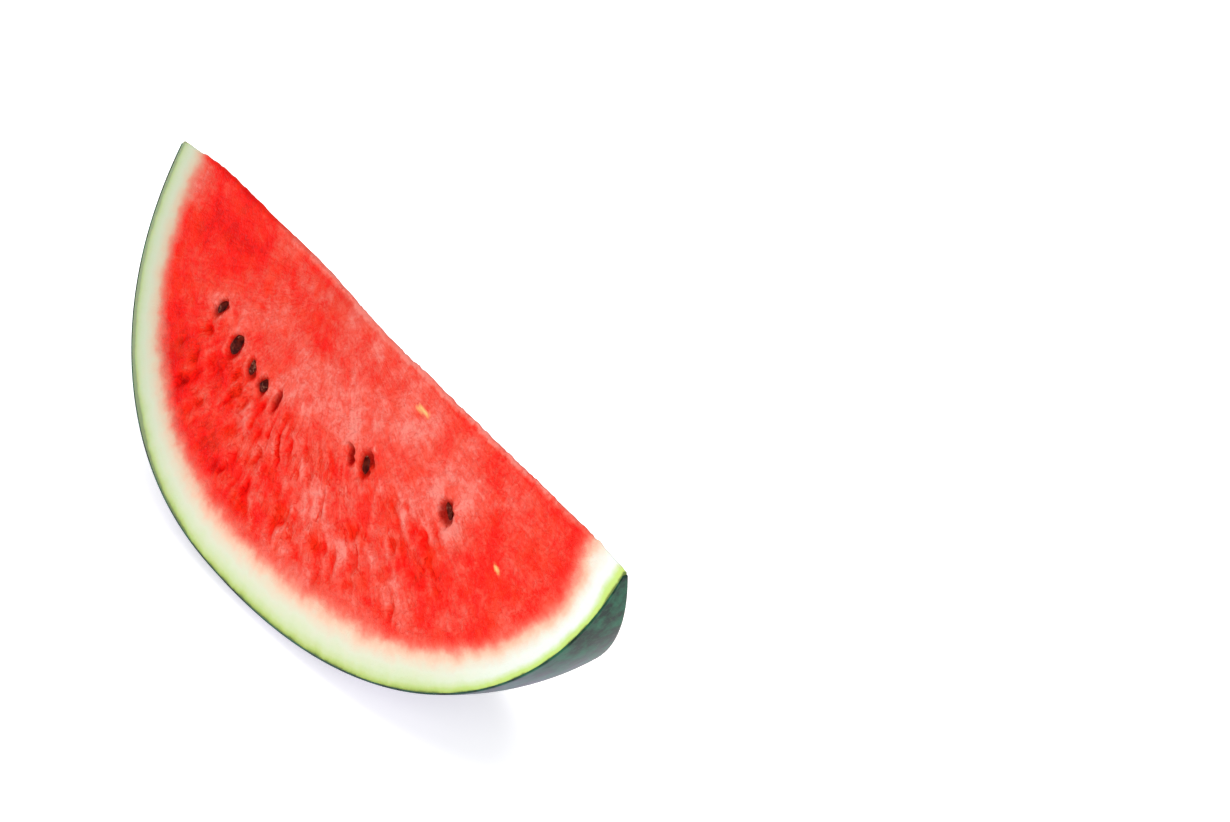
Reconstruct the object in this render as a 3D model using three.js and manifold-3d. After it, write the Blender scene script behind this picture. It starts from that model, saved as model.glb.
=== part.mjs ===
// A wedge of red watermelon, a tenth of the melon, standing on its rind.
//
// The melon is a body of revolution about its long axis. Two knife cuts that meet on that axis free the
// wedge. Its cut faces carry the hollows where the seeds sit and the furrows where the flesh tore.
//
// Lengths are millimetres and angles are degrees. In the melon's own frame the long axis is X, the origin
// is halfway along it, and the wedge hangs below it. In the part's frame the wedge is tipped endways to
// where it balances, and the origin is the middle of the flat spot that it rests on.

import * as THREE from 'three';
import { mergeVertices } from 'three/addons/utils/BufferGeometryUtils.js';
import Module from 'manifold-3d';

// The melon: widest at BELLY_X, with a fuller blossom end at -X and a slimmer stem end at +X.
const RADIUS = 112;
const HALF_LENGTH = 137;
const BELLY_X = -25;
const BLOSSOM_POWER = 2.2;
const STEM_POWER = 2.15;

// The wedge: the angle between its cuts, the width left along its top edge, and how it rests.
const WEDGE_ANGLE = 36;
const EDGE_WIDTH = 1;
const REST_PITCH = 4.06;
const FLAT_SPOT_DEPTH = 0.9;

// How finely the rounded surfaces are divided.
const MERIDIAN_STEPS = 52;
const TURN_STEPS = 90;
const HOLLOW_STEPS = { around: 10, down: 6 };
const FOOT_STEP = 0.05;

// A place on a cut face is x along the melon and out from its long axis. A turn of 0 points straight out.
const FRONT_SEEDS = [
  { x: -79.5, out: 38, length: 8, width: 4.4, turn: -22 },
  { x: -64, out: 44.5, length: 10, width: 6, turn: -6 },
  { x: -51.5, out: 46, length: 8.2, width: 4.4, turn: 13 },
  { x: -42.5, out: 48, length: 7.5, width: 4.8, turn: -8 },
  { x: -33, out: 48, length: 9, width: 2.5, turn: 4 },
  { x: 10.5, out: 41, length: 8.3, width: 2.5, turn: 44 },
  { x: 18.8, out: 39.8, length: 10, width: 5.4, turn: 25 },
  { x: 60.5, out: 31.2, length: 10, width: 5.4, turn: 51 },
];
const BACK_SEEDS = [
  { x: -88, out: 33, length: 7.5, width: 4.5, turn: -30 },
  { x: -70, out: 42, length: 9, width: 5.5, turn: -20 },
  { x: -47, out: 48, length: 8, width: 5, turn: -35 },
  { x: -14, out: 46, length: 9.5, width: 6, turn: 15 },
  { x: 4, out: 43, length: 7, width: 2.5, turn: 5 },
  { x: 33, out: 39, length: 9, width: 5.5, turn: 30 },
  { x: 72, out: 29, length: 8.5, width: 5, turn: 40 },
];
const SEED_HOLLOW_DEPTH = 1.8;
const SEED_HOLLOW_MARGIN = 1.2;

// The furrows lie in a band between the seeds and the rind, each pointing straight out at the rind.
const FURROWS = 12;
const FURROW_BAND = { from: -86, to: 66, inner: 0.47, outer: 0.78 };
const FURROW_LENGTH = { least: 6, most: 12 };
const FURROW_WIDTH = { least: 2, most: 3.4 };
const FURROW_DEPTH = 1.2;

const GOLDEN = 0.618034;
const SILVER = 0.414214;
const FRONT = -1;
const BACK = 1;
const COINCIDENT = 1e-4;

const wasm = await Module();
wasm.setup();

const radians = THREE.MathUtils.degToRad;
const lerp = THREE.MathUtils.lerp;

// A closed three.js geometry as a solid: its doubled vertices are merged and its empty triangles dropped.
function toSolid(geometry) {
  const bare = geometry.clone();
  bare.deleteAttribute('normal');
  bare.deleteAttribute('uv');
  const merged = mergeVertices(bare, COINCIDENT);
  const index = merged.index.array;
  const kept = [];
  for (let i = 0; i < index.length; i += 3) {
    const [a, b, c] = index.slice(i, i + 3);
    if (a !== b && b !== c && c !== a) kept.push(a, b, c);
  }
  return new wasm.Manifold(new wasm.Mesh({
    numProp: 3,
    vertProperties: new Float32Array(merged.attributes.position.array),
    triVerts: new Uint32Array(kept),
  }));
}

function toGeometry(solid) {
  const { vertProperties, triVerts } = solid.getMesh();
  const geometry = new THREE.BufferGeometry();
  geometry.setAttribute('position', new THREE.BufferAttribute(new Float32Array(vertProperties), 3));
  geometry.setIndex(new THREE.BufferAttribute(new Uint32Array(triVerts), 1));
  geometry.computeVertexNormals();
  return geometry;
}

// Half the melon's length on the side of the belly that x is on, and that end's roundness.
function endOf(x) {
  return x > BELLY_X
    ? { length: HALF_LENGTH - BELLY_X, power: STEM_POWER }
    : { length: HALF_LENGTH + BELLY_X, power: BLOSSOM_POWER };
}

// The melon's radius at x.
function radiusAt(x) {
  const { length, power } = endOf(x);
  const along = Math.min(1, Math.abs(x - BELLY_X) / length);
  return RADIUS * (1 - along ** power) ** (1 / power);
}

// The whole melon, from a half outline that is swept round the long axis.
function melon() {
  const outline = [];
  for (let i = 0; i <= MERIDIAN_STEPS; i += 1) {
    const angle = Math.PI * (1 - i / MERIDIAN_STEPS);
    const along = Math.cos(angle);
    const across = i === 0 || i === MERIDIAN_STEPS ? 0 : Math.sin(angle);
    const { length, power } = endOf(BELLY_X + along);
    const reach = (Math.abs(along) ** power + across ** power) ** (-1 / power);
    outline.push(new THREE.Vector2(reach * across * RADIUS, BELLY_X + reach * along * length));
  }
  const geometry = new THREE.LatheGeometry(outline, TURN_STEPS);
  return toSolid(geometry.rotateZ(-Math.PI / 2));
}

// The space between the two knife cuts, with its sharp top edge taken off.
function knifeSpace() {
  const half = radians(WEDGE_ANGLE / 2);
  const top = EDGE_WIDTH / 2 / Math.tan(half);
  const deep = RADIUS * 1.2;
  const section = new THREE.Shape([
    new THREE.Vector2(-deep * Math.tan(half), -deep),
    new THREE.Vector2(deep * Math.tan(half), -deep),
    new THREE.Vector2(EDGE_WIDTH / 2, -top),
    new THREE.Vector2(-EDGE_WIDTH / 2, -top),
  ]);
  const depth = HALF_LENGTH * 2.2;
  const geometry = new THREE.ExtrudeGeometry(section, { depth, bevelEnabled: false });
  const turned = new THREE.Matrix4().makeBasis(
    new THREE.Vector3(0, 1, 0),
    new THREE.Vector3(0, 0, 1),
    new THREE.Vector3(1, 0, 0),
  );
  return toSolid(geometry.translate(0, 0, -depth / 2).applyMatrix4(turned));
}

// An egg-shaped tool sunk in a cut face, its long axis in the face and turned away from straight out.
function hollow(side, { x, out, length, width, turn }, depth) {
  const half = radians(WEDGE_ANGLE / 2);
  const outward = new THREE.Vector3(0, side * Math.sin(half), -Math.cos(half));
  const along = new THREE.Vector3(1, 0, 0);
  const long = outward.clone().multiplyScalar(Math.cos(radians(turn)));
  long.addScaledVector(along, Math.sin(radians(turn)));
  const normal = new THREE.Vector3().crossVectors(along, outward);
  const wide = new THREE.Vector3().crossVectors(normal, long);
  const place = new THREE.Matrix4().makeBasis(long, wide, normal);
  place.setPosition(outward.multiplyScalar(out).setX(x));
  const ball = new THREE.SphereGeometry(1, HOLLOW_STEPS.around, HOLLOW_STEPS.down);
  return toSolid(ball.scale(length / 2, width / 2, depth).applyMatrix4(place));
}

function seedHollow(side, seed) {
  const length = seed.length + SEED_HOLLOW_MARGIN;
  const width = seed.width + SEED_HOLLOW_MARGIN;
  return hollow(side, { ...seed, length, width }, SEED_HOLLOW_DEPTH);
}

// Furrow number i of a cut face: spread evenly along the band, and scattered across it.
function furrow(side, i) {
  const across = (i * GOLDEN + (side === BACK ? SILVER : 0)) % 1;
  const size = (i * SILVER) % 1;
  const x = lerp(FURROW_BAND.from, FURROW_BAND.to, (i + 0.5) / FURROWS);
  const out = radiusAt(x) * lerp(FURROW_BAND.inner, FURROW_BAND.outer, across);
  const slope = (x - BELLY_X) * (RADIUS / endOf(x).length) ** 2;
  const turn = THREE.MathUtils.radToDeg(Math.atan2(slope, out));
  const length = lerp(FURROW_LENGTH.least, FURROW_LENGTH.most, size);
  const width = lerp(FURROW_WIDTH.most, FURROW_WIDTH.least, across);
  return hollow(side, { x, out, length, width, turn }, FURROW_DEPTH);
}

// The lowest point of the rind once the wedge is tipped endways by its pitch.
function foot() {
  const sine = Math.sin(radians(REST_PITCH));
  const cosine = Math.cos(radians(REST_PITCH));
  let lowest = { x: 0, z: 0 };
  for (let x = -HALF_LENGTH; x < HALF_LENGTH; x += FOOT_STEP) {
    const z = -x * sine - radiusAt(x) * cosine;
    if (z < lowest.z) lowest = { x: x * cosine - radiusAt(x) * sine, z };
  }
  return lowest;
}

// Tips the wedge to where it balances, and takes the flat spot off its lowest part.
function settle(solid) {
  const { x, z } = foot();
  const geometry = toGeometry(solid).rotateY(radians(REST_PITCH));
  geometry.translate(-x, 0, -z - FLAT_SPOT_DEPTH);
  const ground = new THREE.BoxGeometry(HALF_LENGTH, RADIUS, RADIUS).translate(0, 0, -RADIUS / 2);
  return toSolid(geometry).subtract(toSolid(ground));
}

function wedge() {
  let solid = melon().intersect(knifeSpace());
  for (const [side, seeds] of [[FRONT, FRONT_SEEDS], [BACK, BACK_SEEDS]]) {
    for (const seed of seeds) solid = solid.subtract(seedHollow(side, seed));
    for (let i = 0; i < FURROWS; i += 1) solid = solid.subtract(furrow(side, i));
  }
  const ripeFlesh = new THREE.MeshStandardMaterial({ color: 0xf23c32, roughness: 0.4, metalness: 0 });
  const mesh = new THREE.Mesh(toGeometry(settle(solid)), ripeFlesh);
  mesh.name = 'wedge';
  return mesh;
}

const part = new THREE.Group();
part.add(wedge());

export default part;
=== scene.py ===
import math

import bpy
import numpy as np
from mathutils import Euler, Matrix, Vector


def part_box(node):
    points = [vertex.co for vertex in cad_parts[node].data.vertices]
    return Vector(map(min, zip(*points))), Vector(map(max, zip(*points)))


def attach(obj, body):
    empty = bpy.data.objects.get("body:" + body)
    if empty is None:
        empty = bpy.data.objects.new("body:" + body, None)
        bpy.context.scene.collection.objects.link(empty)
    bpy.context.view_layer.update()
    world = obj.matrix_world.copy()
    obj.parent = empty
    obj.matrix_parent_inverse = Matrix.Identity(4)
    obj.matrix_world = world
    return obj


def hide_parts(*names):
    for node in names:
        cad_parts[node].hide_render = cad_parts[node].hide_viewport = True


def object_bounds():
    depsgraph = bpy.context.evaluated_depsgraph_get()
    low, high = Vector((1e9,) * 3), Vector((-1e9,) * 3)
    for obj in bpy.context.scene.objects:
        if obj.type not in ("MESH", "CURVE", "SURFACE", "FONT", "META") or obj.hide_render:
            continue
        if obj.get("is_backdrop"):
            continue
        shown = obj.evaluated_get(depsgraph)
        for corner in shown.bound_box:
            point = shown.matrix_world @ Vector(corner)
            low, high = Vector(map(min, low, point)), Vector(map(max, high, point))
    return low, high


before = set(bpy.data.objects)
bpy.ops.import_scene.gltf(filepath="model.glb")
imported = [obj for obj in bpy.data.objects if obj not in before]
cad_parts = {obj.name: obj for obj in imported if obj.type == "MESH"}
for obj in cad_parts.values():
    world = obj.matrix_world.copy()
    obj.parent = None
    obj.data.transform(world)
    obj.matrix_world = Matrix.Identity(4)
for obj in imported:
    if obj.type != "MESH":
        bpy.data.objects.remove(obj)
cad_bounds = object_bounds()

MM = 0.001

# The melon and the cut, as in the CAD source, in millimetres and degrees.
RADIUS = 112.0
HALF_LENGTH = 137.0
BELLY_X = -25.0
BLOSSOM_POWER = 2.2
STEM_POWER = 2.15
HALF_ANGLE = math.radians(18)
REST_PITCH = math.radians(4.06)
FLAT_SPOT_DEPTH = 0.9

# The skin is a separate thin shell. The flesh and the white rind fill what is left inside it.
SKIN = 0.6

# The melon's two pointed ends are cut off where the flesh is about this far out from the axis.
TIP_HEIGHT = 1.9

# How finely the pieces are meshed: along the rim, down a cut face and across the skin from cut to cut.
COLUMNS = 400
FACE_ROWS = 104
ARC_ROWS = 24
OUTLINE_STEPS = 8001

FRONT, BACK = -1, 1

# Seed hollows: x along the melon, out from its long axis, length, width and turn away from straight out,
# in millimetres and degrees. The last value is how far the seed in it is rolled about its own length, or
# EMPTY for a slit that has lost its seed.
EMPTY = None
SEEDS = {
    FRONT: (
        (-79.5, 38, 8, 4.4, -22, 50),
        (-64, 44.5, 10, 6, -6, 28),
        (-51.5, 46, 8.2, 4.4, 13, 50),
        (-42.5, 48, 7.5, 4.8, -8, 42),
        (-33, 48, 9, 2.5, 4, EMPTY),
        (10.5, 41, 8.3, 2.5, 44, EMPTY),
        (18.8, 39.8, 10, 5.4, 25, 42),
        (60.5, 31.2, 10, 5.4, 51, -42),
    ),
    BACK: (
        (-88, 33, 7.5, 4.5, -30, 30),
        (-70, 42, 9, 5.5, -20, 20),
        (-47, 48, 8, 5, -35, 35),
        (-14, 46, 9.5, 6, 15, 15),
        (4, 43, 7, 2.5, 5, EMPTY),
        (33, 39, 9, 5.5, 30, 25),
        (72, 29, 8.5, 5, 40, 20),
    ),
}
SEED_HOLLOW_DEPTH = 1.8
SEED_HOLLOW_MARGIN = 1.2
SEED_THICKNESS = 2.4
SEED_SINK = 0.7
SEED_SIDES = 20
SEED_ROWS = 14

# The row of seeds is an arch: its middle, its height above the long axis and how far it reaches each way.
SEED_ROW_X = -35
SEED_ROW_OUT = 46
SEED_ROW_REACH = 120

# Soft patches of paler (+) or deeper (-) red: x, out, length outward, width, turn and strength.
PATCHES = {
    FRONT: (
        (-24, 32, 50, 100, 0, 0.2),
        (30, 24, 60, 110, -6, 0.27),
        (52, 10, 26, 44, 0, 0.16),
        (100, 14, 30, 40, 0, 0.18),
        (-116, 10, 24, 26, 0, 0.28),
        (-74, 28, 24, 52, 10, 0.2),
        (-28, 17, 13, 26, 0, -0.15),
        (-36, 4, 9, 66, 0, 0.17),
        (-64, 41, 20, 46, 0, 0.15),
        (65, 29, 28, 42, 0, 0.27),
        (-80, 40, 22, 34, 0, 0.16),
        (76, 5, 12, 24, 0, 0.15),
        (-10, 78, 34, 46, 0, -0.18),
        (16, 68, 34, 110, 0, 0.33),
        (16, 92, 26, 96, 0, 0.38),
        (-92, 18, 46, 50, 0, -0.24),
        (-92, 62, 50, 34, -40, -0.22),
        (-52, 78, 22, 26, 0, -0.22),
        (32, 57, 14, 34, 10, -0.1),
    ),
    BACK: (
        (5, 34, 58, 160, 0, 0.32),
        (-60, 30, 40, 60, 15, 0.14),
        (20, 90, 24, 80, 0, 0.24),
        (90, 24, 46, 56, 0, -0.2),
        (-85, 60, 40, 50, -35, -0.24),
        (-20, 74, 26, 50, 0, -0.18),
        (60, 60, 30, 40, 20, -0.2),
    ),
}

# A faint ridge along the crest of the front face, drawn only as a painted highlight line: its middle, how
# far it reaches each way and how far out.
RIDGE_X = -35
RIDGE_REACH = 58
RIDGE_OUT = 10

# The two cuts meet at the crest. It is a little under the melon's axis at the tips, wanders about the axis
# on the stem side and stands above it on the blossom side, where the faces swell out to meet it.
EDGE_DEPTH = 1.5
EDGE_FADE = 1.1
CREST_RISE = 0.7
CREST_HUMP = 2.4
SWELL = 0.5
SWELL_OUT = 14

# How thick the rind is along the melon, against its thickness in RIND_STOPS.
RIND_X = (-137, -90, 30, 137)
RIND_THICKNESS = (0.56, 0.91, 1.03, 0.68)

# Where along the melon the rind is painted with shade, greyer, towards the blossom end, and turns white
# towards the stem end, partly as a painted pool of light.
BLOSSOM_SHADE_X = (-135, -20)
WHITE_X = (80, 132)

# Where along the melon the torn flesh begins and where it ends.
TORN_FROM = (-104, -78)
TORN_TO = (62, 92)

# Short pale strands in the flesh: x, out, length, width and turn.
STRANDS = {
    FRONT: ((30.5, 10.7, 9, 1.9, 93), (91, 32, 5, 1.6, 70)),
    BACK: ((-40, 14, 8, 1.8, 80), (52, 12, 5, 1.6, 100), (84, 40, 4.5, 1.6, 50)),
}

# Furrows, as in the CAD source. Inner and outer are shares of the way out to the skin.
FURROWS = 12
FURROW_FROM, FURROW_TO = -86, 66
FURROW_INNER, FURROW_OUTER = 0.47, 0.78
FURROW_LENGTH = (6, 12)
FURROW_WIDTH = (2, 3.4)
FURROW_DEPTH = 1.2
GOLDEN, SILVER = 0.618034, 0.414214

# Depths of the finer relief, in mm: the sweep of the knife, the grain, the torn flesh and the soft lumps.
KNIFE_SWEEP, KNIFE_RIPPLE = 0.35, 0.12
GRAIN = 0.16
TEAR_DEPTH, TEAR_RISE = 1.5, 0.4
LUMPS = 0.22


# ---------------------------------------------------------------- numbers

def lerp(a, b, t):
    return a + (b - a) * t


def smooth(low, high, value):
    """0 below low, 1 above high and a smooth step between."""
    t = np.clip((value - low) / (high - low), 0, 1)
    return t * t * (3 - 2 * t)


def noise(u, v, seed):
    """Smooth noise from -1 to 1 whose features are about one unit across."""
    size = 256
    table = np.random.default_rng(seed).uniform(-1, 1, (size, size))
    i, j = np.floor(u).astype(int), np.floor(v).astype(int)
    fu, fv = u - i, v - j
    su, sv = fu * fu * (3 - 2 * fu), fv * fv * (3 - 2 * fv)

    def corner(di, dj):
        return table[(i + di) % size, (j + dj) % size]

    near = lerp(corner(0, 0), corner(1, 0), su)
    far = lerp(corner(0, 1), corner(1, 1), su)
    return lerp(near, far, sv)


# ---------------------------------------------------------------- the melon's shape

def end_of(x):
    """Half the melon's length on x's side of the belly, and that end's roundness."""
    stem = np.asarray(x) > BELLY_X
    length = np.where(stem, HALF_LENGTH - BELLY_X, HALF_LENGTH + BELLY_X)
    return length, np.where(stem, STEM_POWER, BLOSSOM_POWER)


def radius_at(x):
    length, power = end_of(x)
    along = np.clip(np.abs(x - BELLY_X) / length, 0, 1)
    return RADIUS * (1 - along**power) ** (1 / power)


def rim(count):
    """Points along the rim of a cut face, tip to tip, and the skin's outward direction at each."""
    angle = np.linspace(math.pi, 0, 20 * count)
    along, across = np.cos(angle), np.sin(angle)
    length, power = end_of(BELLY_X + along)
    reach = (np.abs(along) ** power + across**power) ** (-1 / power)
    points = np.stack([BELLY_X + reach * along * length, reach * across * RADIUS], 1)
    points = points[points[:, 1] > TIP_HEIGHT + SKIN]
    steps = np.concatenate([[0.0], np.cumsum(np.linalg.norm(np.diff(points, axis=0), axis=1))])
    even = np.linspace(0, steps[-1], count)
    points = np.stack([np.interp(even, steps, points[:, k]) for k in (0, 1)], 1)
    tangent = np.gradient(points, axis=0)
    tangent /= np.linalg.norm(tangent, axis=1, keepdims=True)
    return points, np.stack([-tangent[:, 1], tangent[:, 0]], 1)


def settled(points):
    """Melon-frame millimetres to the CAD node's place, in metres."""
    low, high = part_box("wedge")
    sine, cosine = math.sin(REST_PITCH), math.cos(REST_PITCH)
    outline = np.linspace(-HALF_LENGTH, HALF_LENGTH, OUTLINE_STEPS)
    radius = radius_at(outline)
    reach = outline * cosine - radius * sine
    middle = (max(reach.max(), HALF_LENGTH * cosine) + reach.min()) / 2
    lowest = np.min(-outline * sine - radius * cosine)
    x = points[:, 0] * cosine + points[:, 2] * sine - middle
    z = -points[:, 0] * sine + points[:, 2] * cosine - lowest - FLAT_SPOT_DEPTH
    moved = np.stack([x, points[:, 1], z], 1) * MM
    moved[:, 0] += (low[0] + high[0]) / 2
    moved[:, 2] += low[2]
    return moved


def face_place(side, x, out, lift=0.0):
    """A place on a cut face in the melon frame, lifted off it along its outward normal."""
    y = side * (out * math.sin(HALF_ANGLE) + lift * math.cos(HALF_ANGLE))
    z = -out * math.cos(HALF_ANGLE) + lift * math.sin(HALF_ANGLE)
    return np.stack(np.broadcast_arrays(x, y, z), -1)


def flesh_coordinates(x, out):
    """A place on a cut face as mm round the rim, mm out from the heart and mm under the skin."""
    length, power = end_of(x)
    along, across = np.abs(x - BELLY_X) / length, np.maximum(out, 0) / RADIUS
    reach = (along**power + across**power) ** (1 / power)
    round_rim = np.arctan2(across, (x - BELLY_X) / length) * RADIUS
    safe = np.maximum(reach, 0.05)
    slope = np.hypot((along / safe) ** (power - 1) / length, (across / safe) ** (power - 1) / RADIUS)
    return round_rim, reach * RADIUS, (1 - reach) / slope


# ---------------------------------------------------------------- relief of the cut faces

def oval(x, out, centre, length, width, turn):
    """Squared distance from an oval's centre in the cut face, 1 on its edge."""
    dx, dout = x - centre[0], out - centre[1]
    sine, cosine = math.sin(turn), math.cos(turn)
    along = (dout * cosine + dx * sine) / (length / 2)
    across = (dx * cosine - dout * sine) / (width / 2)
    return along**2 + across**2


def furrows(side):
    """Centre, length, width and turn of each furrow, by the rule of the CAD source."""
    for i in range(FURROWS):
        across = (i * GOLDEN + (SILVER if side == BACK else 0)) % 1
        size = (i * SILVER) % 1
        x = lerp(FURROW_FROM, FURROW_TO, (i + 0.5) / FURROWS)
        out = float(radius_at(x)) * lerp(FURROW_INNER, FURROW_OUTER, across)
        slope = (x - BELLY_X) * (RADIUS / float(end_of(x)[0])) ** 2
        length, width = lerp(*FURROW_LENGTH, size), lerp(*FURROW_WIDTH[::-1], across)
        yield (x, out), length, width, math.atan2(slope, out)


def torn_band(x, out):
    """1 where the knife tore the flesh, between the row of seeds and the ripe red next to the rind."""
    row = SEED_ROW_OUT * np.sqrt(np.clip(1 - ((x - SEED_ROW_X) / SEED_ROW_REACH) ** 2, 0, 1))
    ripe = flesh_coordinates(x, out)[1] / RADIUS
    middle = smooth(*TORN_FROM, x) * (1 - smooth(*TORN_TO, x))
    return smooth(row - 3, row + 9, out) * (1 - smooth(0.73, 0.84, ripe)) * middle


def ridge(x):
    """How far out from the axis the ridge along the crest of the front face runs."""
    return RIDGE_OUT * np.sqrt(np.clip(1 - ((x - RIDGE_X) / RIDGE_REACH) ** 2, 0, 1))


def rise(x):
    """How far the crest is raised, in mm."""
    return CREST_RISE + CREST_HUMP * smooth(-137, -100, x) * (1 - smooth(-55, 10, x))


def tone_of(side, x, out):
    """How pale the flesh is at a place on a cut face, from 0, deep red, to 1, pale pink."""
    seed = 40 * (2 + side)
    tone = 0.46 + 0.1 * noise(x / 22, out / 17, seed) + 0.09 * noise(x / 9, out / 7, seed + 1)
    for px, pout, length, width, turn, strength in PATCHES[side]:
        bend = 6 * noise(x / 12, out / 12, seed + 2)
        away = oval(x + bend, out, (px, pout), length, width, math.radians(turn))
        tone = tone + strength * np.exp(-1.3 * away)
    return tone


def strands_of(side, x, out):
    """1 on the pale strands of a cut face and 0 away from them."""
    pale = np.zeros_like(x)
    for sx, sout, length, width, turn in STRANDS[side]:
        bend = 0.6 * noise(x / 5, out / 5, 31)
        away = oval(x + bend, out + bend, (sx, sout), length, width, math.radians(turn))
        pale = np.maximum(pale, np.clip(1.2 - away, 0, 1))
    return pale


def relief(side, x, out):
    """How far a cut face sinks, in mm, and its masks from 0 to 1: hollows that get painted shade, pale lips
    and ridges that get painted highlights, and seed hollows that get painted shade.
    """
    seed = 100 * (2 + side)
    round_rim, reach, depth = flesh_coordinates(x, out)
    flesh = smooth(14, 20, depth)
    ripe = reach / RADIUS
    band = torn_band(x, out)

    knife = KNIFE_SWEEP * noise(x / 45, out / 38, seed) + KNIFE_RIPPLE * noise(x / 14, out / 60, seed + 1)
    grain = GRAIN * noise(x / 2.1, out / 2.1, seed + 2) + GRAIN * noise(x / 4.3, out / 3.7, seed + 3)
    bent = round_rim + 4 * noise(round_rim / 10, reach / 11, seed + 8)
    slant = 0.25 * reach
    streak = noise((bent + slant) / 3, (reach - slant) / 6.5, seed + 4)
    streak = streak + 0.5 * noise(x / 3.2, out / 2.8, seed + 5)
    clumps = smooth(-0.35, 0.5, noise(round_rim / 11, reach / 14, seed + 9))
    tear = TEAR_DEPTH * np.maximum(streak, 0) ** 1.3 - TEAR_RISE * np.maximum(-streak, 0)
    torn = band * (0.3 + 0.7 * clumps) * tear
    lumps = LUMPS * noise(x / 6, out / 5, seed + 10) * (1 - smooth(0.4, 0.7, ripe))
    sink = knife * smooth(0, 8, depth) + flesh * (grain + lumps) + torn
    sink = sink * lerp(0.3, 1, smooth(0, 5, out - crest(x)))
    sink = sink - SWELL * rise(x) * (1 - smooth(-3, SWELL_OUT, out))

    # Hollows: the flesh is painted darker here, as shade.
    hollow = np.clip(torn * 1.05, 0, 1)
    # Painted highlights: paler flesh where the torn flesh rises.
    lip_highlight = 0.9 * band * np.clip(-1.2 * streak, 0, 1)
    seed_hollow_shade = np.zeros_like(x)
    broken = smooth(-0.1, 0.4, noise(x / 4, out / 4, seed + 11))
    if side == FRONT:
        # The ridge along the crest is a painted highlight line only, with no relief.
        line = ridge(x) + 1.2 * noise(x / 9, np.zeros_like(x), seed + 13)
        on_line = np.exp(-((out - line) / 0.7) ** 2) * smooth(2, 4, line)
        lip_highlight = np.maximum(lip_highlight, 0.8 * on_line * broken)
    for centre, length, width, turn in furrows(side):
        wobble = 1.2 * noise(x / 3, out / 3, seed + 6)
        away = oval(x + wobble, out, centre, length, width * 1.25, turn)
        inside = np.clip(1 - away, 0, 1)
        lip = smooth(0.8, 1.3, away) * (1 - smooth(1.5, 4.0, away)) * broken
        sink = sink + FURROW_DEPTH * 1.1 * inside**0.7 - 0.25 * lip
        hollow = np.maximum(hollow, inside**0.8 * lerp(0.45, 0.9, band))
        lip_highlight = np.maximum(lip_highlight, lip)

    for sx, sout, length, width, turn, _ in SEEDS[side]:
        wobble = 0.9 * noise(x / 1.9, out / 1.9, seed + 7) + 0.5 * noise(x / 4, out / 4, seed + 12)
        away = oval(x + wobble, out - wobble, (sx, sout), length + SEED_HOLLOW_MARGIN,
                    width + SEED_HOLLOW_MARGIN, math.radians(turn))
        inside = np.clip(1 - away, 0, 1)
        sink = sink + SEED_HOLLOW_DEPTH * inside**0.5
        hollow = np.maximum(hollow, 0.9 * inside**0.5)
        # Painted shade: the seed hollows are made darker red.
        seed_hollow_shade = np.maximum(seed_hollow_shade, np.clip(1.5 * inside, 0, 1))
        lip_highlight = np.maximum(lip_highlight, smooth(0.9, 1.2, away) * (1 - smooth(1.4, 2.8, away)) * broken)
    return sink, hollow * flesh, lip_highlight, seed_hollow_shade


def crest(x):
    """How far out from the axis the crumbled edge is where the two cuts meet, negative above the axis."""
    level = np.zeros_like(x)
    fine = lerp(0.4, 0.75, smooth(-40, 20, x))
    crumbs = 0.6 * np.abs(noise(x / 7, level, 11)) + fine * np.abs(noise(x / 2.6, level, 12))
    soft = smooth(0, 18, HALF_LENGTH - np.abs(x))
    return EDGE_DEPTH + soft * (crumbs + 0.5 * noise(x / 30, level, 13) - EDGE_FADE - rise(x))


# ---------------------------------------------------------------- meshes

def loft(name, rings, values):
    """A closed mesh through rings of points, capped at both ends. values are its named point attributes."""
    count, around = rings.shape[:2]
    first = np.arange(count - 1)[:, None] * around
    here = np.arange(around)[None, :]
    there = (here + 1) % around
    quads = np.stack([first + here, first + there, first + around + there, first + around + here], -1)
    caps = [list(range(around))[::-1], list(range((count - 1) * around, count * around))]
    mesh = bpy.data.meshes.new(name)
    mesh.from_pydata(settled(rings.reshape(-1, 3)).tolist(), [], quads.reshape(-1, 4).tolist() + caps)
    for key, data in values.items():
        vector = data.ndim == 3
        kind, field = ("FLOAT_VECTOR", "vector") if vector else ("FLOAT", "value")
        attribute = mesh.attributes.new(key, kind, "POINT")
        attribute.data.foreach_set(field, data.astype(np.float32).ravel())
    mesh.shade_smooth()
    mesh.validate()
    made = bpy.data.objects.new(name, mesh)
    bpy.context.collection.objects.link(made)
    return made


def keep_above(piece, height):
    """Presses a piece flat where it rests: nothing of it is below height, in metres."""
    for vertex in piece.data.vertices:
        vertex.co.z = max(vertex.co.z, height)


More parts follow.
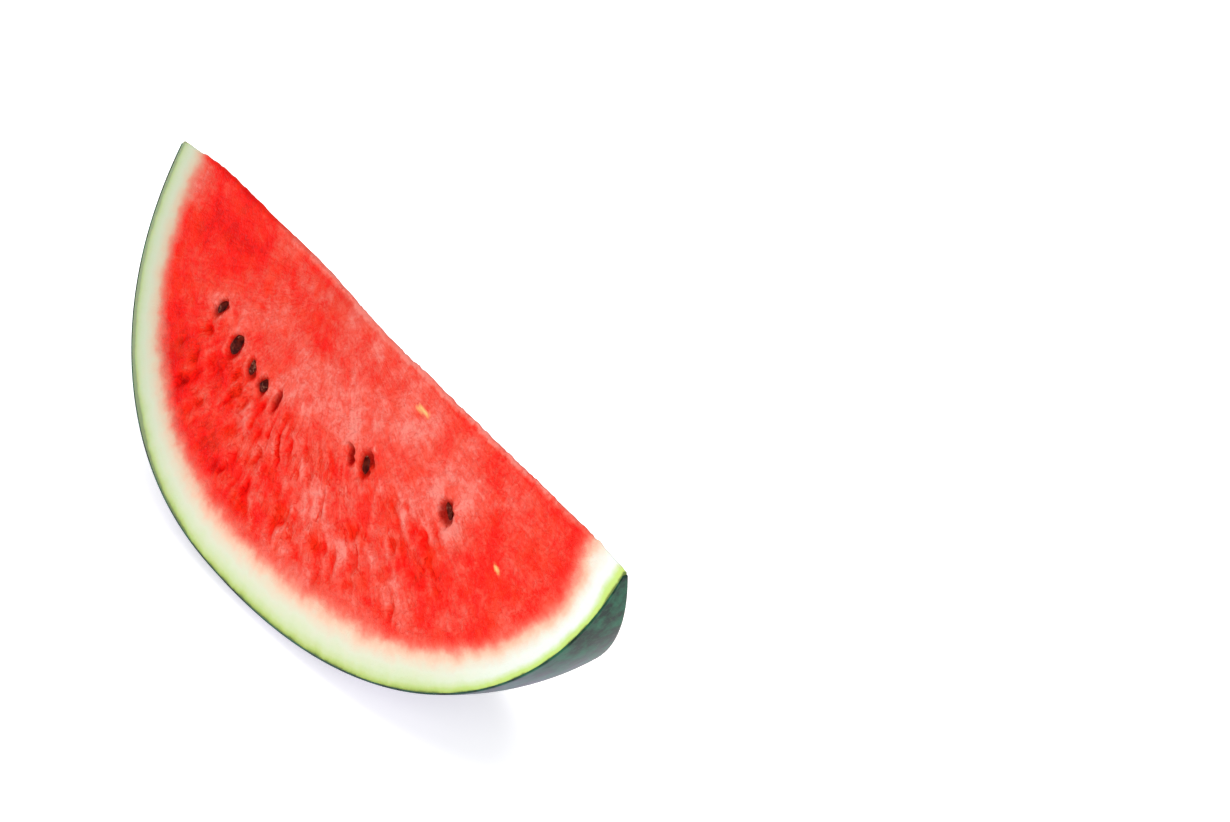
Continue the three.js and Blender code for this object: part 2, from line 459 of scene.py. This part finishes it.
def face_columns(side, points):
    """Points, masks and coordinates of one cut face, from the crest down to the rim, for every column."""
    x = points[:, :1]
    share = np.linspace(0, 1, FACE_ROWS)[None, :]
    out = lerp(crest(x), points[:, 1:], share)
    x = np.broadcast_to(x, out.shape)
    round_rim, reach, depth = flesh_coordinates(x, out)
    depth = np.maximum(depth, 0)
    sink, hollow, lip_highlight, seed_hollow_shade = relief(side, x, out)
    # Painted shade on the rind towards the blossom end; towards the stem end a wider, whiter rind, partly a
    # painted pool of light.
    blossom_shade, white = 1 - smooth(*BLOSSOM_SHADE_X, x), smooth(*WHITE_X, x)
    thickness = np.interp(x, RIND_X, RIND_THICKNESS) * (1 + 0.5 * white * (1 - smooth(2, 24, out)))
    sink = sink * smooth(0.4, 3, depth - SKIN) * smooth(0, 2.5, HALF_LENGTH - np.abs(x))
    fibre = np.stack([round_rim, reach, np.full_like(reach, 40.0 * side)], -1)
    values = {
        "depth": depth,
        "rind": depth / thickness - 2.6 * blossom_shade,
        "blossom_shade": blossom_shade,
        "white": white,
        "seed_hollow_shade": seed_hollow_shade,
        "torn": torn_band(x, out),
        "hollow": hollow,
        "lip_highlight": lip_highlight,
        "tone": tone_of(side, x, out),
        "pale": strands_of(side, x, out),
        # Along the crest: a paler line, turning into painted shade, darker, near the blossom tip.
        "edge": (1 - smooth(0.3, 2.2, out - crest(x))) * lerp(-0.6, 1, smooth(-95, -45, x)),
        "fibre": fibre,
    }
    return face_place(side, x, out, -sink), values


def flesh_piece():
    """The flesh and white rind: two cut faces that meet at the crest, and the surface under the skin."""
    points, outward = rim(COLUMNS)
    points = points - outward * SKIN
    front, front_values = face_columns(FRONT, points)
    back, back_values = face_columns(BACK, points)
    angle = np.linspace(-HALF_ANGLE, HALF_ANGLE, ARC_ROWS + 1)[None, 1:-1]
    radius = points[:, 1:]
    x = np.broadcast_to(points[:, :1], (COLUMNS, angle.shape[1]))
    under = np.stack([x, radius * np.sin(angle), -radius * np.cos(angle)], -1)
    rings = np.concatenate([front, under, back[:, ::-1]], 1)
    values = {}
    for key, data in front_values.items():
        between = np.zeros(under.shape[:2] + data.shape[2:])
        values[key] = np.concatenate([data, between, back_values[key][:, ::-1]], 1)
    piece = loft("watermelon_flesh", rings, values)
    keep_above(piece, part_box("wedge")[0][2] + SKIN * MM)
    return piece


def skin_piece():
    """The thin green skin, a shell wrapped round the rind from cut to cut."""
    points, outward = rim(COLUMNS)
    inner = points - outward * SKIN
    angle = np.linspace(-HALF_ANGLE, HALF_ANGLE, ARC_ROWS + 1)[None, :]

    def arc(outline):
        radius = outline[:, 1:]
        x = np.broadcast_to(outline[:, :1], (COLUMNS, angle.shape[1]))
        return np.stack([x, radius * np.sin(angle), -radius * np.cos(angle)], -1)

    rings = np.concatenate([arc(points), arc(inner)[:, ::-1]], 1)
    cut = np.zeros(rings.shape[:2])
    cut[:, [0, ARC_ROWS, ARC_ROWS + 1, -1]] = 1
    piece = loft("watermelon_skin", rings, {"cut": cut})
    keep_above(piece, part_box("wedge")[0][2])
    return piece


def seed_mesh(length, width, rng):
    """One flat seed, pointed at its hilum end: its points, in mm about its own middle, and its faces."""
    pinch = rng.uniform(0.5, 0.62)
    phase = rng.uniform(0, 2 * math.pi)
    points = [(0, length / 2, 0)]
    for j in range(1, SEED_ROWS):
        polar = math.pi * j / SEED_ROWS
        end = math.cos(polar)
        plump = math.sin(polar) * (1 - pinch * max(end, 0) ** 2.2)
        for i in range(SEED_SIDES):
            turn = 2 * math.pi * i / SEED_SIDES
            rimmed = 1 + 0.16 * abs(math.cos(turn)) ** 10
            lumpy = 1 + 0.05 * math.sin(3 * turn + 4 * polar + phase)
            lumpy += 0.04 * math.sin(turn - 7 * polar + phase)
            points.append((
                plump * lumpy * math.cos(turn) * width / 2,
                end * length / 2,
                plump * lumpy * math.sin(turn) * SEED_THICKNESS / 2 * rimmed,
            ))
    points.append((0, -length / 2, 0))
    tail = len(points) - 1
    faces = []
    for i in range(SEED_SIDES):
        k = (i + 1) % SEED_SIDES
        faces.append((0, 1 + i, 1 + k))
        for row in range(1, tail - SEED_SIDES, SEED_SIDES):
            faces.append((row + i, row + SEED_SIDES + i, row + SEED_SIDES + k, row + k))
        faces.append((tail - SEED_SIDES + i, tail, tail - SEED_SIDES + k))
    return np.array(points), faces


def seeds_piece():
    """Every seed of both cut faces, each sunk in its hollow, as one mesh."""
    rng = np.random.default_rng(5)
    all_points, all_faces, count = [], [], 0
    for side, seeds in SEEDS.items():
        for x, out, length, width, turn, roll in seeds:
            if roll is EMPTY:
                continue
            points, faces = seed_mesh(length, width, rng)
            tilt = Euler((math.radians(rng.uniform(-10, 10)), math.radians(roll), 0)).to_matrix()
            points = points @ np.array(tilt).T
            turned = math.radians(turn)
            dx = points[:, 0] * math.cos(turned) + points[:, 1] * math.sin(turned)
            dout = points[:, 1] * math.cos(turned) - points[:, 0] * math.sin(turned)
            lift = points[:, 2] - SEED_SINK - width / 2 * abs(math.sin(math.radians(roll)))
            all_points.append(face_place(side, x + dx, out + dout, lift))
            all_faces += [tuple(v + count for v in face[::-side]) for face in faces]
            count += len(points)
    mesh = bpy.data.meshes.new("watermelon_seeds")
    mesh.from_pydata(settled(np.concatenate(all_points)).tolist(), [], all_faces)
    mesh.shade_smooth()
    made = bpy.data.objects.new("watermelon_seeds", mesh)
    bpy.context.collection.objects.link(made)
    return made


# ---------------------------------------------------------------- materials

class Shader:
    """A material's node tree, with short ways to add and link its nodes."""

    def __init__(self, name):
        self.material = bpy.data.materials.new(name)
        self.material.use_nodes = True
        self.tree = self.material.node_tree
        self.surface = self.tree.nodes["Principled BSDF"]

    def put(self, node, socket, value):
        if isinstance(value, bpy.types.NodeSocket):
            self.tree.links.new(value, node.inputs[socket])
        elif value is not None:
            node.inputs[socket].default_value = value

    def node(self, kind, output=0, **inputs):
        made = self.tree.nodes.new("ShaderNode" + kind)
        for key, value in inputs.items():
            self.put(made, key.replace("_", " "), value)
        return made.outputs[output]

    def maths(self, operation, a, b=None, c=None):
        made = self.tree.nodes.new("ShaderNodeMath")
        made.operation = operation
        for socket, value in enumerate((a, b, c)):
            self.put(made, socket, value)
        return made.outputs[0]

    def blend(self, factor, a, b):
        made = self.tree.nodes.new("ShaderNodeMix")
        made.data_type = "RGBA"
        self.put(made, 0, factor)
        self.put(made, 6, a)
        self.put(made, 7, b)
        return made.outputs[2]

    def remap(self, value, low, high, to_low=0.0, to_high=1.0):
        ends = {"From_Min": low, "From_Max": high, "To_Min": to_low, "To_Max": to_high}
        return self.node("MapRange", Value=value, **ends)

    def attribute(self, name, output="Fac"):
        made = self.tree.nodes.new("ShaderNodeAttribute")
        made.attribute_name = name
        return made.outputs[output]

    def scaled(self, vector, scale):
        return self.node("Mapping", Vector=vector, Scale=scale)

    def stretched_noise(self, vector, scale, detail, rough):
        """Noise from 0 to 1 whose features are drawn out by one scale for each coordinate."""
        scaled = self.scaled(vector, scale)
        return self.node("TexNoise", Vector=scaled, Scale=1.0, Detail=detail, Roughness=rough)

    def noise(self, vector, size, detail=3.0, rough=0.5):
        """Noise from 0 to 1 with features of the given size in mm, on coordinates in metres."""
        return self.stretched_noise(vector, (1 / MM / size,) * 3, detail, rough)

    def ramp(self, factor, stops):
        made = self.tree.nodes.new("ShaderNodeValToRGB")
        elements = made.color_ramp.elements
        while len(elements) < len(stops):
            elements.new(1.0)
        for element, (position, colour) in zip(elements, stops):
            element.position = position
            element.color = colour
        self.put(made, 0, factor)
        return made.outputs[0]


def colour(red, green, blue):
    """A colour given as a screen shows it, 0 to 255, as Blender's linear numbers."""
    def linear(value):
        value /= 255
        return value / 12.92 if value <= 0.04045 else ((value + 0.055) / 1.055) ** 2.4
    return (linear(red), linear(green), linear(blue), 1.0)


# Colours of the rind by depth under the skin, in mm, as a screen shows them.
RIND_DEPTH = 30.0
RIND_STOPS = (
    (0.6, (106, 126, 66)),
    (1.2, (162, 184, 94)),
    (2.0, (183, 204, 124)),
    (3.2, (198, 215, 156)),
    (5.5, (210, 222, 185)),
    (8.5, (219, 223, 198)),
    (11.5, (228, 212, 188)),
    (14.0, (238, 193, 167)),
    (16.5, (242, 164, 140)),
    (19.0, (242, 118, 98)),
    (22.0, (240, 76, 62)),
)

# Colours of the flesh by tone, from deep red to pale pink, as a screen shows them.
FLESH_TONES = (
    (0.0, (182, 8, 4)),
    (0.16, (222, 9, 5)),
    (0.32, (246, 16, 8)),
    (0.46, (245, 37, 24)),
    (0.6, (240, 66, 50)),
    (0.76, (240, 94, 79)),
    (0.95, (244, 132, 119)),
)


def flesh_material():
    """Red flesh that pales to white and lime under the skin, with grain, streaks and torn hollows, painted
    shade in hollows and creases and painted highlights on lips and ridges.
    """
    s = Shader("watermelon flesh")
    place = s.node("TexCoord", output=3)
    fibre = s.attribute("fibre", "Vector")
    depth, rind_depth, hollow, lip_highlight, seed_hollow_shade, tone = (
        s.attribute(name) for name in ("depth", "rind", "hollow", "lip_highlight", "seed_hollow_shade", "tone")
    )
    torn, blossom_shade, white, pale, edge = (
        s.attribute(name) for name in ("torn", "blossom_shade", "white", "pale", "edge")
    )

    def around_zero(value, amount):
        return s.maths("MULTIPLY", s.maths("SUBTRACT", value, 0.5), amount)

    # The rind: bands by depth, whose inner edge is a little ragged along the fibres.
    streaks = s.stretched_noise(fibre, (0.16, 0.05, 1.0), 4.0, 0.6)
    clouds = s.noise(place, 8, 4.0, 0.6)
    ragged = s.maths("ADD", around_zero(streaks, 4.0), around_zero(clouds, 8.0))
    shifted = s.maths("ADD", rind_depth, s.maths("MULTIPLY", ragged, s.remap(rind_depth, 1.5, 13.0, 0.3)))
    stops = [(at / RIND_DEPTH, colour(*shade)) for at, shade in RIND_STOPS]
    rind = s.ramp(s.maths("DIVIDE", shifted, RIND_DEPTH), stops)

    # The flesh: one tone from deep red to pale pink, moved by blotches, fibres and fine grain.
    blotches = s.noise(place, 5.5, 4.0, 0.62)
    speck = s.noise(place, 1.5, 3.0, 0.65)
    strands = s.stretched_noise(fibre, (0.5, 0.13, 1.0), 4.0, 0.62)
    patches = s.remap(s.noise(place, 13, 4.0, 0.6), 0.44, 0.58, -0.06, 0.07)
    level = s.maths("ADD", s.maths("ADD", tone, patches), around_zero(blotches, 0.6))
    level = s.maths("ADD", level, around_zero(strands, 0.34))
    level = s.maths("ADD", level, around_zero(speck, 0.42))
    # Fine creases, painted darker as shade, and bumped.
    crease = s.maths("ABSOLUTE", s.maths("SUBTRACT", s.noise(place, 3.2, 3.0, 0.6), 0.5))
    crease = s.remap(crease, 0.0, 0.05, 1.0, 0.0)
    level = s.maths("MULTIPLY_ADD", crease, -0.075, level)
    # Thin cuts along the fibres of the torn band, painted darker as shade, each with a pale lip on one side
    # that is a painted highlight.
    across = s.maths("SUBTRACT", s.stretched_noise(fibre, (0.3, 0.1, 1.0), 2.5, 0.5), 0.5)
    places = s.maths("MULTIPLY", torn, s.remap(s.noise(place, 9, 2.0, 0.5), 0.46, 0.56))
    cut = s.maths("MULTIPLY", places, s.remap(s.maths("ABSOLUTE", across), 0.0, 0.022, 1.0, 0.0))
    lip = s.maths("MULTIPLY", s.remap(across, 0.015, 0.03), s.remap(across, 0.03, 0.09, 1.0, 0.0))
    level = s.maths("MULTIPLY_ADD", s.maths("MULTIPLY", places, lip), 0.1, level)
    level = s.maths("MULTIPLY_ADD", cut, -0.2, level)
    # Painted highlights on the lips and ridges.
    level = s.maths("MULTIPLY_ADD", lip_highlight, 0.2, level)
    # Paler along the crest, and painted shade along it near the blossom tip.
    level = s.maths("MULTIPLY_ADD", edge, 0.4, level)
    level = s.maths("MAXIMUM", level, 0.2)
    # Painted shade: darker flesh in the hollows.
    level = s.maths("MULTIPLY_ADD", hollow, -0.24, level)
    flesh = s.ramp(level, [(at, colour(*shade)) for at, shade in FLESH_TONES])
    warm = s.remap(s.noise(place, 9, 4.0, 0.6), 0.48, 0.62, 0.0, 0.34)
    flesh = s.blend(warm, flesh, colour(246, 60, 22))
    # Painted shade: dark red in the seed hollows.
    flesh = s.blend(s.maths("MULTIPLY", seed_hollow_shade, 0.8), flesh, colour(128, 6, 4))
    flesh = s.blend(pale, flesh, colour(250, 204, 128))
    # The rind has painted shade at the blossom end, where it is greyer, and a lime line and whiter pith at
    # the stem end; the pith is partly real and partly a painted pool of light.
    pith = s.maths("MULTIPLY", s.remap(shifted, 2.6, 5.5), s.remap(shifted, 8.0, 14.0, 1.0, 0.0))
    lime = s.maths("MULTIPLY", s.remap(shifted, 0.8, 1.4), s.remap(shifted, 1.8, 5.0, 1.0, 0.0))
    pith_and_light_share = s.maths("MULTIPLY", white, s.maths("MULTIPLY", pith, 0.85))
    lime_share = s.maths("MULTIPLY", s.maths("MULTIPLY", white, 0.66), lime)
    # Painted shade: the rind greyer towards the blossom end.
    rind = s.blend(s.maths("MULTIPLY", blossom_shade, 0.5), rind, colour(176, 188, 160))
    # Whiter pith at the stem end, partly real and partly painted light.
    rind = s.blend(pith_and_light_share, rind, colour(236, 240, 238))
    rind = s.blend(lime_share, rind, colour(202, 232, 122))
    flesh = s.blend(s.remap(shifted, 15.0, 24.0), rind, flesh)

    s.put(s.surface, "Base Color", flesh)
    s.put(s.surface, "Roughness", s.remap(speck, 0.2, 0.8, 0.36, 0.56))
    s.put(s.surface, "Specular IOR Level", s.remap(hollow, 0.0, 0.5, 0.08, 0.02))
    s.put(s.surface, "Subsurface Weight", 0.2)
    s.put(s.surface, "Subsurface Radius", (1.0, 0.28, 0.18))
    s.put(s.surface, "Subsurface Scale", 0.003)

    cells = s.node("TexVoronoi", Vector=s.scaled(place, (1 / MM / 1.2,) * 3), Scale=1.0, Randomness=1.0)
    height = s.maths("ADD", s.maths("MULTIPLY", cells, 0.35), s.maths("MULTIPLY", speck, 1.1))
    height = s.maths("ADD", height, s.maths("MULTIPLY_ADD", crease, -0.5, strands))
    height = s.maths("MULTIPLY_ADD", cut, -1.2, height)
    firm = s.remap(depth, 12.0, 20.0, 0.1, 1.0)
    bump = s.node("Bump", Strength=0.6, Distance=0.0009, Height=s.maths("MULTIPLY", height, firm))
    s.put(s.surface, "Normal", bump)
    return s.material


def skin_material():
    """Waxy dark green skin, mottled along the melon, with a grey bloom and a painted reflection of the pale
    floor that is heaviest underneath.
    """
    s = Shader("watermelon skin")
    place = s.node("TexCoord", output=3)
    height_up = s.node("SeparateXYZ", output=2, Vector=place)
    drawn_out = s.scaled(place, (0.32, 1.0, 1.0))
    mottle = s.noise(drawn_out, 6, 5.0, 0.62)
    speck = s.noise(place, 1.6, 3.0, 0.6)
    bloom_and_floor_reflection = s.remap(s.noise(drawn_out, 14, 4.0, 0.6), 0.35, 0.65, 0.5, 1.0)
    # Painted reflection of the floor: the grey is heaviest low on the skin.
    bloom_and_floor_reflection = s.maths("MULTIPLY", bloom_and_floor_reflection, s.remap(height_up, 0.008, 0.07, 1.0, 0.06))
    bloom_and_floor_reflection = s.maths("MULTIPLY", bloom_and_floor_reflection, s.remap(s.attribute("cut"), 0.55, 0.95, 1.0, 0.15))
    green = s.blend(s.remap(mottle, 0.4, 0.6), colour(9, 38, 25), colour(35, 90, 66))
    green = s.blend(s.maths("MULTIPLY", s.remap(speck, 0.55, 0.75), 0.35), green, colour(60, 96, 62))
    green = s.blend(bloom_and_floor_reflection, green, colour(136, 128, 156))
    s.put(s.surface, "Base Color", green)
    s.put(s.surface, "Roughness", s.remap(mottle, 0.3, 0.7, 0.4, 0.54))
    s.put(s.surface, "Specular IOR Level", 0.11)
    height = s.maths("ADD", s.maths("MULTIPLY", speck, 0.3), s.noise(place, 12, 2.0, 0.5))
    s.put(s.surface, "Normal", s.node("Bump", Strength=0.25, Distance=0.0006, Height=height))
    return s.material


def seed_material():
    """Wet dark red-brown seed coat with lighter patches painted on as highlights."""
    s = Shader("watermelon seed")
    place = s.node("TexCoord", output=3)
    cloud = s.noise(place, 2.4, 4.0, 0.6)
    # Painted highlights: tan patches on the seed coat.
    painted_glints = s.remap(s.noise(place, 1.7, 3.0, 0.6), 0.56, 0.68, 0.0, 0.7)
    brown = s.blend(s.remap(cloud, 0.4, 0.65), colour(52, 3, 3), colour(96, 26, 14))
    s.put(s.surface, "Base Color", s.blend(painted_glints, brown, colour(158, 104, 84)))
    s.put(s.surface, "Roughness", s.remap(cloud, 0.3, 0.7, 0.16, 0.34))
    s.put(s.surface, "Specular IOR Level", 0.05)
    s.put(s.surface, "Normal", s.node("Bump", Strength=0.3, Distance=0.0003, Height=s.noise(place, 0.9)))
    return s.material


# ---------------------------------------------------------------- the set

FLOOR_HALF = 6.0
FLOOR_GLOW = 0.48
WORLD_STRENGTH = 0.42

# Soft round lights: place from the middle of the scene's bounds and width, in metres, and watts.
LIGHTS = {
    "overhead": ((0.0, 0.0, 1.6), 2.0, 19.5),
    "front": ((0.7, -1.1, 0.9), 0.9, 5),
    "softbox": ((1.05, -0.35, 0.55), 0.7, 2.8),
}


def floor_piece():
    """A wide pale floor under the wedge, which glows a little so that its shadow stays faint."""
    half = FLOOR_HALF
    mesh = bpy.data.meshes.new("floor")
    corners = [(-half, -half, 0), (half, -half, 0), (half, half, 0), (-half, half, 0)]
    mesh.from_pydata(corners, [], [(0, 1, 2, 3)])
    made = bpy.data.objects.new("floor", mesh)
    bpy.context.collection.objects.link(made)
    made.location.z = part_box("wedge")[0][2]
    s = Shader("pale floor")
    place = s.node("TexCoord", output=3)
    white = s.blend(s.noise(place, 40), colour(247, 247, 248), colour(250, 250, 250))
    s.put(s.surface, "Base Color", white)
    s.put(s.surface, "Roughness", 0.7)
    s.put(s.surface, "Specular IOR Level", 0.2)
    s.put(s.surface, "Emission Color", (1.0, 1.0, 1.0, 1.0))
    s.put(s.surface, "Emission Strength", FLOOR_GLOW)
    mesh.materials.append(s.material)
    return made


def soft_light(name, place, aim, size, watts):
    lamp = bpy.data.lights.new(name, "AREA")
    lamp.shape, lamp.size, lamp.energy = "DISK", size, watts
    made = bpy.data.objects.new(name, lamp)
    made.location = place
    made.rotation_euler = (Vector(aim) - Vector(place)).to_track_quat("-Z", "Y").to_euler()
    bpy.context.collection.objects.link(made)


def studio():
    """A white surround, a wide light overhead, one by the camera and a softbox that rakes the cut face."""
    world = bpy.data.worlds.new("white studio")
    world.use_nodes = True
    background = world.node_tree.nodes["Background"]
    background.inputs["Color"].default_value = (1, 1, 1, 1)
    background.inputs["Strength"].default_value = WORLD_STRENGTH
    bpy.context.scene.world = world
    low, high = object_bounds()
    middle = (low + high) / 2
    for name, (offset, size, watts) in LIGHTS.items():
        soft_light(name, middle + Vector(offset), middle, size, watts)
    bpy.context.scene.view_settings.view_transform = "Standard"


# The camera's aim is measured from the middle of the CAD box, in metres. Angles are in degrees, and the
# lens and sensor in mm.
AIM = Vector((0.0586, 0.0551, 0.0440))
AZIMUTH, ELEVATION, ROLL = 46.0, 27.94, 12.85
DISTANCE = 0.976
LENS = 85.0
SENSOR = 36.0


def camera():
    low, high = cad_bounds
    azimuth, elevation = math.radians(AZIMUTH), math.radians(ELEVATION)
    back = Vector((
        math.sin(azimuth) * math.cos(elevation),
        -math.cos(azimuth) * math.cos(elevation),
        math.sin(elevation),
    ))
    lens = bpy.data.cameras.new("camera")
    lens.lens, lens.sensor_width = LENS, SENSOR
    made = bpy.data.objects.new("camera", lens)
    level = back.to_track_quat("Z", "Y").to_matrix().to_4x4()
    roll = Matrix.Rotation(math.radians(ROLL), 4, "Z")
    made.matrix_world = Matrix.Translation((low + high) / 2 + AIM + back * DISTANCE) @ level @ roll
    bpy.context.collection.objects.link(made)
    bpy.context.scene.camera = made


def main():
    pieces = (
        (flesh_piece(), flesh_material(), "flesh"),
        (skin_piece(), skin_material(), "skin"),
        (seeds_piece(), seed_material(), "seeds"),
    )
    for piece, material, slot in pieces:
        piece.data.materials.append(material)
        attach(piece, "root")
        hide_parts("wedge")
    floor_piece()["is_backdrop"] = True
    studio()
    camera()


main()
